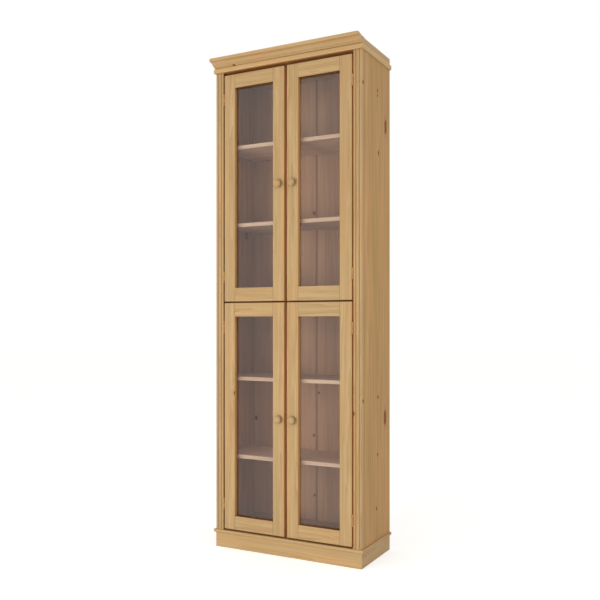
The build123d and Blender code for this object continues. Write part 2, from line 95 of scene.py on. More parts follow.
def srgb(red: int, green: int, blue: int) -> Colour:
    """Turns a colour as seen on a screen into linear light.

    Args:
        red: Share of red, 0 to 255.
        green: Share of green, 0 to 255.
        blue: Share of blue, 0 to 255.

    Returns:
        The three linear shares.
    """
    shares = (red / 255, green / 255, blue / 255)
    bent = (((s + SRGB_OFFSET) / (1 + SRGB_OFFSET)) ** SRGB_POWER for s in shares)
    return tuple(s / SRGB_TOE_SLOPE if s < SRGB_TOE else b for s, b in zip(shares, bent))


class Recipe:
    """A material or world being mixed: its node tree, with short ways to add to it."""

    def __init__(self, owner: Material | bpy.types.World) -> None:
        """Empties the owner's node tree and starts on it.

        Args:
            owner: The material or world.
        """
        self.owner = owner
        owner.use_nodes = True
        self.tree = owner.node_tree
        self.tree.nodes.clear()

    def feed(self, socket: Socket, value: object) -> None:
        """Gives an input a fixed value, or links it to another node's output.

        Args:
            socket: The input.
            value: A number, a colour, a position or an output.
        """
        if isinstance(value, Socket):
            self.tree.links.new(value, socket)
        elif socket.type == "RGBA" and len(value) == 3:
            socket.default_value = (*value, 1.0)
        else:
            socket.default_value = value

    def node(self, kind: str, inputs: dict | None = None, **settings: object) -> bpy.types.Node:
        """Adds a node.

        Args:
            kind: The node's type name.
            inputs: Values or outputs by the input's name or number.
            settings: The node's own options.

        Returns:
            The new node.
        """
        made = self.tree.nodes.new(kind)
        for name, setting in settings.items():
            setattr(made, name, setting)
        for name, value in (inputs or {}).items():
            self.feed(made.inputs[name], value)
        return made

    def place(self) -> Socket:
        """Reads the place on the object."""
        return self.node("ShaderNodeTexCoord").outputs["Object"]

    def calc(self, operation: str, *values: Value) -> Socket:
        """Adds one step of arithmetic."""
        return self.node("ShaderNodeMath", dict(enumerate(values)), operation=operation).outputs[0]

    def point(self, x: Value, y: Value, z: Value) -> Socket:
        """Joins three numbers into a position."""
        return self.node("ShaderNodeCombineXYZ", {0: x, 1: y, 2: z}).outputs[0]

    def length(self, x: Value, y: Value) -> Socket:
        """Measures the long side of a right-angled triangle."""
        flat = self.point(x, y, 0.0)
        return self.node("ShaderNodeVectorMath", {0: flat}, operation="LENGTH").outputs["Value"]

    def noise(self, at: Socket, scale: float, detail: float = 2.0) -> Socket:
        """Adds cloudy noise."""
        inputs = {"Vector": at, "Scale": scale, "Detail": detail}
        return self.node("ShaderNodeTexNoise", inputs).outputs[0]

    def spread(
        self, value: Value, low: float, high: float, to_low: float = 0.0, to_high: float = 1.0
    ) -> Socket:
        """Maps a range onto another one, smoothly and without going past its ends.

        Args:
            value: What is mapped.
            low: Start of the range.
            high: End of the range.
            to_low: What the start turns into.
            to_high: What the end turns into.

        Returns:
            The mapped value.
        """
        names = ("Value", "From Min", "From Max", "To Min", "To Max")
        inputs = dict(zip(names, (value, low, high, to_low, to_high)))
        made = self.node("ShaderNodeMapRange", inputs, interpolation_type="SMOOTHSTEP")
        return made.outputs[0]

    def ramp(self, value: Value, stops: Sequence[tuple[float, Sequence[float]]]) -> bpy.types.Node:
        """Adds a colour ramp.

        Args:
            value: What picks the colour.
            stops: Places from 0 to 1, each with its colour.

        Returns:
            The ramp's node.
        """
        made = self.node("ShaderNodeValToRGB", {0: value})
        elements = made.color_ramp.elements
        while len(elements) < len(stops):
            elements.new(1.0)
        for element, (position, colour) in zip(elements, stops):
            element.position = position
            element.color = colour if len(colour) == 4 else (*colour, 1.0)
        return made

    def blend(self, share: Value, first: object, second: object, how: str = "MIX") -> Socket:
        """Mixes two colours."""
        inputs = {0: share, 6: first, 7: second}
        return self.node("ShaderNodeMix", inputs, data_type="RGBA", blend_type=how).outputs[2]

    def bump(self, height: Value, strength: float, depth: float) -> Socket:
        """Bends the surface by a height."""
        inputs = {"Height": height, "Strength": strength, "Distance": depth}
        return self.node("ShaderNodeBump", inputs).outputs[0]

    def finish(self, shader: Socket) -> Material:
        """Links the shader to the output."""
        self.node("ShaderNodeOutputMaterial", {"Surface": shader})
        return self.owner

    def coat(self, inputs: dict[str, object]) -> Material:
        """Ends the material with one shader."""
        return self.finish(self.node("ShaderNodeBsdfPrincipled", inputs).outputs[0])


class Grain(Enum):
    """The way a board's fibres run, as the number of the axis."""

    ACROSS = 0
    DEEP = 1
    UPRIGHT = 2


@dataclass(frozen=True)
class Knot:
    """A knot in a board.

    Attributes:
        place: Its middle in the cabinet's frame.
        radius: Half its width across the grain.
        stretch: How much longer than wide it is.
        through: The axis that it grows along, or None for the board's thickness.
    """

    place: tuple[float, float, float]
    radius: float = 0.006
    stretch: float = 1.35
    through: int | None = None


Knots = dict[str, tuple[Knot, ...]]


@dataclass(frozen=True)
class Board:
    """A board that waits for its wood.

    Attributes:
        name: Its node, which also seeds its figure.
        grain: The way its fibres run.
        knots: The knots that show on it.
        plank: Width of its glued planks, or 0 for one piece.
        joints: Where along the grain a dark line crosses it: a joint line on the rails, and a
            painted shade line beside a gap at the stiles' ends.
        edges: Directions of its faces that stand in a gap beside another board and take painted
            gap shading.
        shade_lines: Where across the grain a painted shade line is drawn, along a groove or a
            gap's edge.
        tone: How light it is beside the others. On the plinth, crown and cornice boards this is
            painted light.
    """

    name: str
    grain: Grain
    knots: Sequence[Knot] = ()
    plank: float = 0.0
    joints: Sequence[float] = ()
    edges: Sequence[Direction] = ()
    shade_lines: Sequence[float] = ()
    tone: float = 1.0

    @property
    def along(self) -> int:
        """The axis that the fibres follow."""
        return self.grain.value

    @property
    def across(self) -> tuple[int, int]:
        """The other two axes, the wider one first."""
        low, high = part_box(self.name)
        others = (axis for axis in range(3) if axis != self.along)
        wide, thick = sorted(others, key=lambda axis: low[axis] - high[axis])
        return wide, thick


@dataclass(frozen=True)
class Cloud:
    """Noise in wood, drawn out along the fibres.

    Attributes:
        scale: Clouds to a metre across the fibres.
        along: Share of the way along the fibres that counts.
        detail: Finer layers on top.
        span: The noise from where it begins to show to where it shows in full.
        reach: What the two ends of the span turn into.
    """

    scale: float
    along: float
    detail: float = 2.0
    span: Span = NOISE_SPAN
    reach: Span = (0.0, 1.0)


@dataclass(frozen=True)
class Pine:
    """Waxed pine, drawn as the growth rings of a log that the board is sawn from.

    Attributes:
        early: Colour of the spring wood.
        middle: Colour half way through a ring.
        late: Colour of the ring's dark line.
        flush: Colour of rosy patches.
        edge: Colour painted on faces that stand in a gap beside another board. It stands in for
            the gap's shade and for light bounced in it.
        painted_gap_turn: How far a face has turned that way where this painted shading starts, and
            where it is full.
        painted_gap_share: How much of that colour is mixed in where it is full.
        groove: Colour of the painted shade line drawn along a groove or a gap's edge.
        joint_and_gap_shade: Colour of a joint line, and on the stiles the colour of the painted
            shade line beside the doors' gaps.
        ring_width: Width of a growth ring.
        streak: How far streaks lighten or darken.
        flush_share: How rosy a patch gets.
        roughness: Roughness between the fibres and on them.
        bump: Strength and depth of the relief.
        gloss: Level of the shine.
        joint_and_gap_width: Half the width of a joint line, and of a stile's painted shade line.
        groove_shade_width: How far the painted shade line reaches beside a groove or a gap's edge.
        groove_shade_share: How much of its colour the painted shade line mixes in at its middle.
        taper: How fast the log gets thinner.
        tones: The luck of a board's tone.
        plank_tones: The luck of a plank's tone.
        plank_shift: How far across the log two planks can lie apart.
        plank_slide: How far along the log two planks can lie apart.
        log_slide: How far along its log a board can lie.
        pith_side: The pith's place beside the board's middle, as a share of the width.
        pith_width: Width that this share counts to at most.
        pith_depth: The luck of the pith's distance from the board.
        wander_reach: How far rings wander to the side.
        ripple_reach: How far rings ripple.
        knot_spread: How far rings bend round a knot, in its radii.
        knot_rings: Rings that a knot pushes aside.
        knot_ragged: How ragged a knot's rim is, in its radii.
        knot_reach: Where a knot's halo ends, in its radii.
        ring_stops: Places of the colours within a ring.
        knot_stops: Places of a knot's colours, from its heart out, and how much each covers.
        relief: Height of the rings beside that of the fibres.
    """

    early: Colour = srgb(200, 169, 124)
    middle: Colour = srgb(192, 161, 115)
    late: Colour = srgb(176, 139, 92)
    flush: Colour = srgb(201, 150, 101)
    # Painted light and shade for faces in a gap beside another board: its colour, where it starts
    # and is full, and how much is mixed in.
    edge: Colour = srgb(174, 118, 62)
    painted_gap_turn: Span = (0.6, 0.9)
    painted_gap_share: float = 0.85
    # Painted shade along grooves and gap edges: its colour and how much is mixed in.
    groove: Colour = srgb(174, 118, 62)
    groove_shade_share: float = 0.75
    knot_rim: Colour = srgb(104, 54, 20)
    knot_heart: Colour = srgb(146, 84, 36)
    knot_halo: Colour = srgb(178, 118, 66)
    # Dark joint lines, and on the stiles painted shade lines beside the doors' gaps: colour, share
    # and core.
    joint_and_gap_shade: Colour = srgb(110, 72, 40)
    joint_and_gap_share: float = 0.8
    joint_and_gap_core: float = 0.4
    ring_width: float = 0.0036
    streak: float = 0.07
    flush_share: float = 0.3
    roughness: Span = (0.45, 0.56)
    bump: Span = (0.22, 0.0003)
    gloss: float = 0.13
    joint_and_gap_width: float = 0.0017
    groove_shade_width: float = 0.0024
    taper: float = 0.006
    tones: Span = (0.97, 1.03)
    plank_tones: Span = (0.94, 1.05)
    plank_shift: float = 0.31
    plank_slide: float = 5.0
    log_slide: float = 9.0
    pith_side: float = 0.45
    pith_width: float = 0.12
    pith_depth: Span = (0.035, 0.09)
    wander: Cloud = Cloud(7.0, 0.11, 1.5)
    wander_reach: float = 0.05
    ripple: Cloud = Cloud(46.0, 0.11)
    ripple_reach: float = 0.007
    figure: Cloud = Cloud(18.0, 0.11, reach=(0.3, 0.7))
    rosy: Cloud = Cloud(24.0, 0.12, span=(0.42, 0.68))
    streaks: Cloud = Cloud(75.0, 0.03, 3.0)
    fibres: Cloud = Cloud(1500.0, 0.02, span=(0.25, 0.75), reach=(0.965, 1.03))
    blotch: Cloud = Cloud(9.0, 0.3, reach=(0.97, 1.03))
    knot_grit: float = 90.0
    knot_ragged: float = 0.5
    knot_spread: float = 2.6
    knot_rings: float = 4.0
    knot_reach: float = 2.4
    ring_stops: tuple[float, ...] = (0.0, 0.45, 0.84, 0.95, 1.0)
    knot_stops: tuple[Span, ...] = (
        (0.0, 1.0),
        (0.22, 1.0),
        (0.34, 1.0),
        (0.44, 0.95),
        (0.54, 0.75),
        (1.0, 0.0),
    )
    relief: float = 0.35

    def saw(self, board: Board) -> Material:
        """Mixes the wood of one board."""
        return PineMix(self, board).finish()


class PineMix:
    """The wood of one board while it is mixed."""

    def __init__(self, pine: Pine, board: Board) -> None:
        """Reads the place on the board and draws the board's own tone.

        Args:
            pine: The wood.
            board: The board.
        """
        self.pine = pine
        self.board = board
        self.chance = random.Random(f"pine {board.name}")
        self.mix = Recipe(bpy.data.materials.new(f"pine_{board.name}"))
        self.where = self.mix.place()
        self.axes = self.mix.node("ShaderNodeSeparateXYZ", {0: self.where}).outputs
        wide, thick = board.across
        self.u, self.v, self.w = self.axes[wide], self.axes[thick], self.axes[board.along]
        # The board's tone carries painted light on the plinth, crown and cornice boards; the rest
        # is chance.
        self.shade: Value = board.tone * self.chance.uniform(*pine.tones)

    def split(self) -> None:
        """Shifts the figure and the tone from plank to plank of a glued board."""
        mix, pine, plank = self.mix, self.pine, self.board.plank
        shifted = mix.calc("ADD", self.u, self.chance.uniform(0.0, plank))
        number = mix.calc("FLOOR", mix.calc("DIVIDE", shifted, plank))
        luck = mix.node("ShaderNodeTexWhiteNoise", {"W": number}, noise_dimensions="1D")
        parts = mix.node("ShaderNodeSeparateColor", {0: luck.outputs["Color"]}).outputs
        self.u = mix.calc("MULTIPLY_ADD", parts[0], pine.plank_shift, self.u)
        self.w = mix.calc("MULTIPLY_ADD", parts[1], pine.plank_slide, self.w)
        tone = mix.spread(parts[2], 0.0, 1.0, *pine.plank_tones)
        self.shade = mix.calc("MULTIPLY", tone, self.shade)

    def noise(self, cloud: Cloud, slide: float = 0.0) -> Socket:
        """Adds a cloud as it comes."""
        far = self.mix.calc("MULTIPLY_ADD", self.w, cloud.along, slide)
        return self.mix.noise(self.mix.point(self.u, self.v, far), cloud.scale, cloud.detail)

    def cloud(self, cloud: Cloud, slide: float = 0.0, reach: Span | None = None) -> Socket:
        """Adds a cloud, mapped onto its reach."""
        return self.mix.spread(self.noise(cloud, slide), *cloud.span, *(reach or cloud.reach))

    def rings(self, slide: float) -> Socket:
        """Cuts the board out of its log.

        Args:
            slide: How far along the log it lies.

        Returns:
            The distance from the pith, counted in rings.
        """
        mix, pine = self.mix, self.pine
        low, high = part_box(self.board.name)
        size, middle = high - low, (low + high) / 2
        wide, thick = self.board.across
        wander = mix.calc("SUBTRACT", self.noise(pine.wander, slide), 0.5)
        ripple = mix.calc("SUBTRACT", self.noise(pine.ripple, slide), 0.5)
        share = self.chance.uniform(-pine.pith_side, pine.pith_side)
        pith_u = middle[wide] + share * min(size[wide], pine.pith_width)
        side = self.chance.choice((-1, 1))
        pith_v = middle[thick] + side * self.chance.uniform(*pine.pith_depth)
        beside = mix.calc("SUBTRACT", self.u, pith_u)
        beside = mix.calc("MULTIPLY_ADD", wander, pine.wander_reach, beside)
        radius = mix.length(beside, mix.calc("SUBTRACT", self.v, pith_v))
        radius = mix.calc("MULTIPLY_ADD", self.w, pine.taper, radius)
        radius = mix.calc("MULTIPLY_ADD", ripple, pine.ripple_reach, radius)
        return mix.calc("DIVIDE", radius, pine.ring_width)

    def nearest_knot(self) -> Socket:
        """Measures the way to the nearest knot.

        Returns:
            The distance in radii of that knot.
        """
        mix, board = self.mix, self.board
        ways = []
        for knot in board.knots:
            through = board.across[1] if knot.through is None else knot.through
            face = next(axis for axis in range(3) if axis not in (board.along, through))
            beside = mix.calc("SUBTRACT", self.axes[face], knot.place[face])
            beyond = mix.calc("SUBTRACT", self.axes[board.along], knot.place[board.along])
            beside = mix.calc("DIVIDE", beside, knot.radius)
            beyond = mix.calc("DIVIDE", beyond, knot.radius * knot.stretch)
            ways.append(mix.length(beside, beyond))
        nearest = ways[0]
        for way in ways[1:]:
            nearest = mix.calc("MINIMUM", nearest, way)
        grit = mix.calc("SUBTRACT", mix.noise(self.where, self.pine.knot_grit), 0.5)
        return mix.calc("MULTIPLY_ADD", grit, self.pine.knot_ragged, nearest)

    def bend(self, phase: Value, nearest: Value) -> Socket:
        """Bends the rings round the knots.

        Args:
            phase: The distance from the pith, in rings.
            nearest: The way to the nearest knot.

        Returns:
            The new distance from the pith.
        """
        mix = self.mix
        near = mix.calc("DIVIDE", nearest, self.pine.knot_spread)
        eye = mix.calc("EXPONENT", mix.calc("MULTIPLY", mix.calc("MULTIPLY", near, near), -1.0))
        return mix.calc("MULTIPLY_ADD", eye, self.pine.knot_rings, phase)

    def colours(self, ring: Value, fibres: Value, slide: float) -> Socket:
        """Colours the rings and lays figure, rosy patches, streaks and fibres over them.

        Args:
            ring: The place within a ring, 0 to 1.
            fibres: The noise of the fibres.
            slide: How far along the log the board lies.

        Returns:
            The colour.
        """
        mix, pine = self.mix, self.pine
        shades = (pine.early, pine.middle, pine.late, pine.late, pine.early)
        colour = mix.ramp(ring, tuple(zip(pine.ring_stops, shades))).outputs["Color"]
        colour = mix.blend(self.cloud(pine.figure, slide), colour, pine.middle)
        rosy = self.cloud(pine.rosy, reach=(0.0, pine.flush_share))
        colour = mix.blend(rosy, colour, pine.flush)
        streaks = self.cloud(pine.streaks, reach=(1 - pine.streak, 1 + pine.streak))
        light = mix.calc("MULTIPLY", streaks, self.shade)
        fine = mix.spread(fibres, *pine.fibres.span, *pine.fibres.reach)
        light = mix.calc("MULTIPLY", fine, light)
        light = mix.calc("MULTIPLY", self.cloud(pine.blotch), light)
        grey = mix.node("ShaderNodeCombineColor", {0: light, 1: light, 2: light}).outputs[0]
        return mix.blend(1.0, colour, grey, "MULTIPLY")

    def knots(self, colour: Value, nearest: Value) -> Socket:
        """Paints the knots over the wood.

        Args:
            colour: The wood's colour.
            nearest: The way to the nearest knot.

        Returns:
            The new colour.
        """
        pine = self.pine
        shades = [c for c in (pine.knot_heart, pine.knot_rim, pine.knot_halo) for _ in range(2)]
        stops = [(at, (*c, share)) for (at, share), c in zip(pine.knot_stops, shades)]
        spot = self.mix.ramp(self.mix.calc("DIVIDE", nearest, pine.knot_reach), stops)
        return self.mix.blend(spot.outputs["Alpha"], colour, spot.outputs["Color"])

    def lines(self, colour: Value) -> Socket:
        """Draws joint lines across the board, and painted shade lines beside gaps and along
        grooves.

        Args:
            colour: The wood's colour.

        Returns:
            The new colour.
        """
        mix, pine, board = self.mix, self.pine, self.board
        # Joint lines, and painted shade lines beside the gaps at the stiles' ends.
        for place in board.joints:
            gap = mix.calc("ABSOLUTE", mix.calc("SUBTRACT", self.axes[board.along], place))
            core = pine.joint_and_gap_width * pine.joint_and_gap_core
            line = mix.spread(gap, core, pine.joint_and_gap_width, pine.joint_and_gap_share, 0.0)
            colour = mix.blend(line, colour, pine.joint_and_gap_shade)
        # Painted shade lines along grooves and gap edges.
        for place in board.shade_lines:
            gap = mix.calc("ABSOLUTE", mix.calc("SUBTRACT", self.axes[board.across[0]], place))
            line = mix.spread(gap, 0.0, pine.groove_shade_width, pine.groove_shade_share, 0.0)
            colour = mix.blend(line, colour, pine.groove)
        return colour

    def paint_gap_shading(self, colour: Value) -> Socket:
        """Paints light and shade onto the faces that stand in a gap beside another board.

        Args:
            colour: The wood's colour.

        Returns:
            The new colour.
        """
        mix, pine = self.mix, self.pine
        out = mix.node("ShaderNodeTexCoord").outputs["Normal"]
        turn: Value = -1.0
        for way in self.board.edges:
            dot = mix.node("ShaderNodeVectorMath", {0: out, 1: way}, operation="DOT_PRODUCT")
            turn = mix.calc("MAXIMUM", dot.outputs["Value"], turn)
        # Painted gap shading: the more a face turns toward a listed direction, the more of the gap
        # colour it takes. The colour is dark for shade, and warm orange on the stiles for bounced
        # light.
        share = mix.spread(turn, *pine.painted_gap_turn, 0.0, pine.painted_gap_share)
        return mix.blend(share, colour, pine.edge)

    def finish(self) -> Material:
        """Mixes the whole board.

        Returns:
            The material.
        """
        mix, pine, board = self.mix, self.pine, self.board
        if board.plank:
            self.split()
        slide = self.chance.uniform(-pine.log_slide, pine.log_slide)
        phase = self.rings(slide)
        if board.knots:
            nearest = self.nearest_knot()
            phase = self.bend(phase, nearest)
        ring = mix.calc("FRACT", phase)
        fibres = self.noise(pine.fibres)
        colour = self.colours(ring, fibres, slide)
        if board.knots:
            colour = self.knots(colour, nearest)
        colour = self.lines(colour)
        # Painted shade and light on the faces that stand in gaps.
        if board.edges:
            colour = self.paint_gap_shading(colour)
        relief = mix.calc("MULTIPLY_ADD", ring, pine.relief, fibres)
        return mix.coat(
            {
                "Base Color": colour,
                "Roughness": mix.spread(fibres, *NOISE_SPAN, *pine.roughness),
                "Normal": mix.bump(relief, *pine.bump),
                "Specular IOR Level": pine.gloss,
            }
        )


@dataclass(frozen=True)
class Brushed:
    """Metal with a fine drawn surface and a breath of tarnish.

    Attributes:
        name: The material's name.
        bright: Colour of the clean metal.
        dull: Colour of the tarnish.
        roughness: How rough the clean metal is.
        patches: Patches of tarnish to a metre.
        scratches: Fine lines to a metre.
        drawn: How short a line looks along its length.
        groove: How much rougher a line is.
        dulling: How much rougher tarnish is.
        bump: Strength and depth of the lines.
    """

    name: str
    bright: Colour
    dull: Colour
    roughness: float
    patches: float = 160.0
    scratches: float = 2600.0
    drawn: float = 0.04
    groove: float = 0.1
    dulling: float = 0.16
    bump: Span = (0.12, 0.0001)

    def make(self) -> Material:
        """Mixes the finish.

        Returns:
            The material.
        """
        mix = Recipe(bpy.data.materials.new(self.name))
        where = mix.place()
        drawn_out = {"Vector": where, "Scale": (1.0, 1.0, self.drawn)}
        drawn = mix.noise(mix.node("ShaderNodeMapping", drawn_out).outputs[0], self.scratches)
        cloud = mix.spread(mix.noise(where, self.patches, 3.0), 0.35, 0.7)
        rough = mix.spread(drawn, *NOISE_SPAN, self.roughness, self.roughness + self.groove)
        return mix.coat(
            {
                "Base Color": mix.blend(cloud, self.bright, self.dull),
                "Metallic": 1.0,
                "Roughness": mix.calc("MULTIPLY_ADD", cloud, self.dulling, rough),
                "Normal": mix.bump(drawn, *self.bump),
            }
        )


@dataclass(frozen=True)
class Moulded:
    """Moulded plastic with a fine grain.

    Attributes:
        name: The material's name.
        colour: Its colour.
        roughness: Roughness between the grains and on them.
        bump: Strength and depth of the grains.
        grit: Grains to a metre.
        patches: Darker patches to a metre.
        deeper: Light that a dark patch keeps.
    """

    name: str
    colour: Colour
    roughness: Span = (0.39, 0.53)
    bump: Span = (0.2, 0.0001)
    grit: float = 2400.0
    patches: float = 60.0
    deeper: float = 0.82

    def make(self) -> Material:
        """Mixes the finish.

        Returns:
            The material.
        """
        mix = Recipe(bpy.data.materials.new(self.name))
        where = mix.place()
        grain = mix.noise(where, self.grit)
        cloud = mix.spread(mix.noise(where, self.patches), *NOISE_SPAN)
        deep = tuple(share * self.deeper for share in self.colour)
        return mix.coat(
            {
                "Base Color": mix.blend(cloud, self.colour, deep),
                "Roughness": mix.spread(grain, *NOISE_SPAN, *self.roughness),
                "Normal": mix.bump(grain, *self.bump),
            }
        )


@dataclass(frozen=True)
class PaneGlass:
    """Clear float glass, a little smoky, with faint smears.

    Attributes:
        tint: What it lets through.
        shadow: What its shadow lets through.
        index: How strongly it bends light.
        smears: Smears to a metre.
        smear: How rough a smear is.
    """

    tint: Colour = srgb(237, 230, 230)
    shadow: Colour = srgb(250, 248, 248)
    index: float = 1.52
    smears: float = 7.0
    smear: float = 0.03

    def make(self) -> Material:
        """Mixes the finish.

        Returns:
            The material.
        """
        mix = Recipe(bpy.data.materials.new("pane_glass"))
        rough = mix.spread(mix.noise(mix.place(), self.smears, 3.0), 0.35, 0.75, 0.0, self.smear)
        body = mix.node(
            "ShaderNodeBsdfPrincipled",
            {
                "Base Color": self.tint,
                "Roughness": rough,
                "IOR": self.index,
                "Transmission Weight": 1.0,
            },
        )
        clear = mix.node("ShaderNodeBsdfTransparent", {"Color": self.shadow})
        lamp = mix.node("ShaderNodeLightPath").outputs["Is Shadow Ray"]
        both = mix.node("ShaderNodeMixShader", {0: lamp, 1: body.outputs[0], 2: clear.outputs[0]})
        return mix.finish(both.outputs[0])


def piece_from(shape: Shape, name: str, smooth: bool = False) -> Piece:
    """Turns a finished bmesh into an object at the origin.

    Args:
        shape: The bmesh, which is freed.
        name: The piece's name.
        smooth: Whether its faces are shaded smooth.

    Returns:
        The new object, linked to the scene.
    """
    bmesh.ops.remove_doubles(shape, verts=shape.verts, dist=WELD)
    bmesh.ops.recalc_face_normals(shape, faces=shape.faces)
    mesh = bpy.data.meshes.new(name)
    shape.to_mesh(mesh)
    shape.free()
    for polygon in mesh.polygons:
        polygon.use_smooth = smooth
    made = bpy.data.objects.new(name, mesh)
    bpy.context.scene.collection.objects.link(made)
    return made


def dress(piece: Piece, material: Material) -> None:
    """Gives a piece its one finish."""
    piece.data.materials.clear()
    piece.data.materials.append(material)


def facing(place: Vector, direction: Vector) -> Matrix:
    """Returns the placing that puts a shape's own Z along a direction at a place."""
    return Matrix.Translation(place) @ direction.to_track_quat("Z", "Y").to_matrix().to_4x4()


@dataclass
class TurnedKnob:
    """A wooden knob turned on the lathe: foot, waist and a flattened ball.

    Attributes:
        door: The door that it is on.
        node: The plain knob that it stands for.
        length: From the stile to its crown.
        steps: Faces round it before the surface is subdivided.
        softness: How often the surface is subdivided.
        outline: Radius and distance from the stile, from the tenon's end to the crown.
    """

    door: str
    node: str
    length: float = 0.024
    steps: int = 28
    softness: int = 2
    outline: tuple[tuple[float, float], ...] = (
        (0.0040, -0.0130),
        (0.0040, 0.0),
        (0.0104, 0.0),
        (0.0106, 0.0008),
        (0.0100, 0.0020),
        (0.0090, 0.0034),
        (0.0108, 0.0046),
        (0.0150, 0.0060),
        (0.0176, 0.0088),
        (0.0181, 0.0120),
        (0.0172, 0.0156),
        (0.0148, 0.0192),
        (0.0112, 0.0219),
        (0.0068, 0.0234),
        (0.0030, 0.0239),
    )

    def build(self) -> Piece:
        """Spins the outline round the knob's axis.

        Returns:
            The knob, in place on its stile.
        """
        low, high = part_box(self.node)
        foot = Vector(((low.x + high.x) / 2, low.y + self.length, (low.z + high.z) / 2))
        shape = bmesh.new()
        points = ((0.0, self.outline[0][1]), *self.outline, (0.0, self.length))
        verts = [shape.verts.new(foot + Vector((out, -forward, 0.0))) for out, forward in points]
        edges = [shape.edges.new(pair) for pair in zip(verts, verts[1:])]
        bmesh.ops.spin(
            shape,
            geom=verts + edges,
            cent=foot,
            axis=BACK,
            angle=math.tau,
            steps=self.steps,
            use_merge=True,
        )
        return piece_from(shape, f"{self.node}_turned", smooth=True)

    def place(self, pine: Pine) -> Piece:
        """Builds the knob, dresses it and hangs it on its door.

        Args:
            pine: The wood that it is turned from.

        Returns:
            The finished piece.
        """
        knob = self.build()
        soft = knob.modifiers.new("soft", "SUBSURF")
        soft.levels = soft.render_levels = self.softness
        # The back of the ball, toward the stile, takes painted shade.
        dress(knob, pine.saw(Board(self.node, Grain.DEEP, edges=(BACK,))))
        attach(knob, self.door)
        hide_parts(self.node)
        return knob


@dataclass
class SlottedScrews:
    """Small slotted screws with low domed heads.

    Attributes:
        radius: Half the head's width.
        rise: How far the head stands proud.
        slot: Width of the slot.
        depth: Depth of the slot, as a share of the rise.
        crown: Width of the head's top, as a share of its foot.
        sides: Corners of the head.
    """

    radius: float = 0.0021
    rise: float = 0.0004
    slot: float = 0.0007
    depth: float = 0.75
    crown: float = 0.78
    sides: int = 20

    def head(self, shape: Shape, place: Vector, direction: Vector, turn: float) -> None:
        """Adds one head.

        Args:
            shape: The bmesh that takes it.
            place: Middle of the head's foot.
            direction: The way the head faces.
            turn: The slot's angle.
        """
        own = facing(place, direction) @ Matrix.Rotation(turn, 4, "Z")
        made = bmesh.ops.create_cone(
            shape,
            cap_ends=True,
            segments=self.sides,
            radius1=self.radius,
            radius2=self.radius * self.crown,
            depth=self.rise,
            matrix=own @ Matrix.Translation((0.0, 0.0, self.rise / 2)),
        )
        centre = own.translation
        out = own.to_3x3() @ Vector(UP)
        sideways = own.to_3x3() @ Vector(RIGHT)
        faces = {f for v in made["verts"] for f in v.link_faces}
        top = [f for f in faces if f.normal.dot(out) > SAME_WAY]
        for step in (-1, 1):
            edges = {e for f in top for e in f.edges}
            verts = {v for f in top for v in f.verts}
            cut = bmesh.ops.bisect_plane(
                shape,
                geom=[*top, *edges, *verts],
                plane_co=centre + sideways * step * self.slot / 2,
                plane_no=sideways,
            )
            top = [g for g in cut["geom"] if isinstance(g, bmesh.types.BMFace)]
        aside = {f: abs((f.calc_center_median() - centre).dot(sideways)) for f in top}
        strip = [f for f in top if aside[f] < self.slot / 4]
        sunk = bmesh.ops.extrude_discrete_faces(shape, faces=strip)
        for face in sunk["faces"]:
            bmesh.ops.translate(shape, verts=face.verts, vec=-out * self.rise * self.depth)


@dataclass
class Hinges:
    """Screws of the butt hinges, on the frame's leaves and the doors' leaves.

    Attributes:
        screws: The kind of screw.
        axis_across: Way from the cabinet's middle to the hinges' axis.
        leaf_face: From the axis to the face of an open leaf.
        screw_row: How deep in the cabinet the screws stand.
        screw_pitch: Height from screw to screw.
        inset: From a door's end to the middle of a hinge.
    """

    screws: SlottedScrews
    axis_across: float = 0.3157
    leaf_face: float = 0.0025
    screw_row: float = -0.1215
    screw_pitch: float = 0.017
    inset: float = 0.110

    def levels(self, door: str) -> tuple[float, float]:
        """Returns the heights of a door's two hinges."""
        low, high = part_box(f"{door}_outer_stile")
        return low.z + self.inset, high.z - self.inset

    def build(self) -> list[Piece]:
        """Builds the screws, one piece for the frame and one for each door.

        Returns:
            The pieces.
        """
        frame_side = bmesh.new()
        made = []
        for door in DOORS:
            side = -1.0 if door.endswith("left") else 1.0
            chance = random.Random(f"screws {door}")
            door_side = bmesh.new()
            for level in self.levels(door):
                for row in (-1, 0, 1):
                    height = level + row * self.screw_pitch
                    for shape, toward in ((frame_side, -side), (door_side, side)):
                        across = side * self.axis_across - toward * self.leaf_face
                        place = Vector((across, self.screw_row, height))
                        turn = chance.uniform(0.0, math.pi)
                        self.screws.head(shape, place, Vector((toward, 0.0, 0.0)), turn)
            piece = piece_from(door_side, f"{door}_hinge_screws")
            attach(piece, door)
            made.append(piece)
        piece = piece_from(frame_side, "frame_hinge_screws")
        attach(piece, "carcass")
        made.append(piece)
        return made


@dataclass
class RoundNails:
    """Round nail heads in rows, seen from behind.

    Attributes:
        radius: Half a head's width.
        rise: How far a head stands proud.
        sides: Corners of a head.
        crown: Width of a head's top, as a share of its foot.
    """

    radius: float
    rise: float
    sides: int = 10
    crown: float = 0.8

    def row(self, shape: Shape, first: Vector, last: Vector, spacing: float) -> None:
        """Adds an even row of heads.

        Args:
            shape: The bmesh that takes them.
            first: Place of the first head.
            last: Place of the last head.
            spacing: About how far apart they stand.
        """
        count = max(1, round((last - first).length / spacing))
        for index in range(count + 1):
            place = first.lerp(last, index / count) + Vector((0.0, self.rise / 2, 0.0))
            bmesh.ops.create_cone(
                shape,
                cap_ends=True,
                segments=self.sides,
                radius1=self.radius,
                radius2=self.radius * self.crown,
                depth=self.rise,
                matrix=facing(place, Vector(BACK)),
            )


